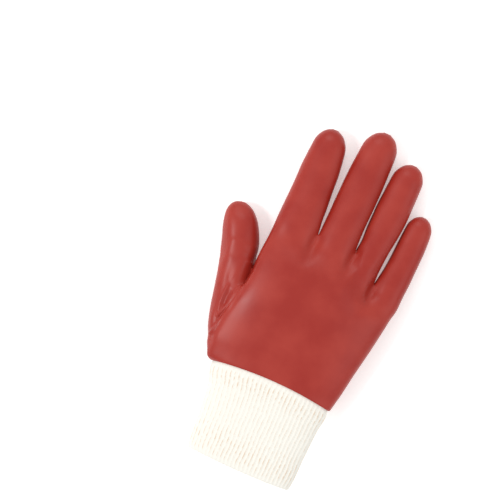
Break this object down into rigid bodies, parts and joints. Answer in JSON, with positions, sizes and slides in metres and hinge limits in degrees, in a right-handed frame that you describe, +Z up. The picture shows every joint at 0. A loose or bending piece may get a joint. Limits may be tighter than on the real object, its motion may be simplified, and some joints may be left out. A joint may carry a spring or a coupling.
{
  "type": "pvc coated work glove",
  "caption": "Right-hand work glove, hollow, with a smooth dipped coat over palm, back, fingers and thumb and a ribbed knit wrist, lying palm down.",
  "frame": {"origin": "bottom centre of the whole glove, on the surface it lies on", "axes": "+Y from the knit wrist to the fingertips, +Z up out of the back of the hand, +X towards the little finger"},
  "size_m": [0.1422, 0.264, 0.0336],
  "materials": {
    "pvc_coat": "smooth dipped PVC, semi-gloss brick red",
    "rib_knit": "rib-knit cotton, natural cream"
  },
  "bodies": {
    "root": {"coated_hand": "pvc_coat", "knit_wrist": "rib_knit"}
  },
  "joints": []
}
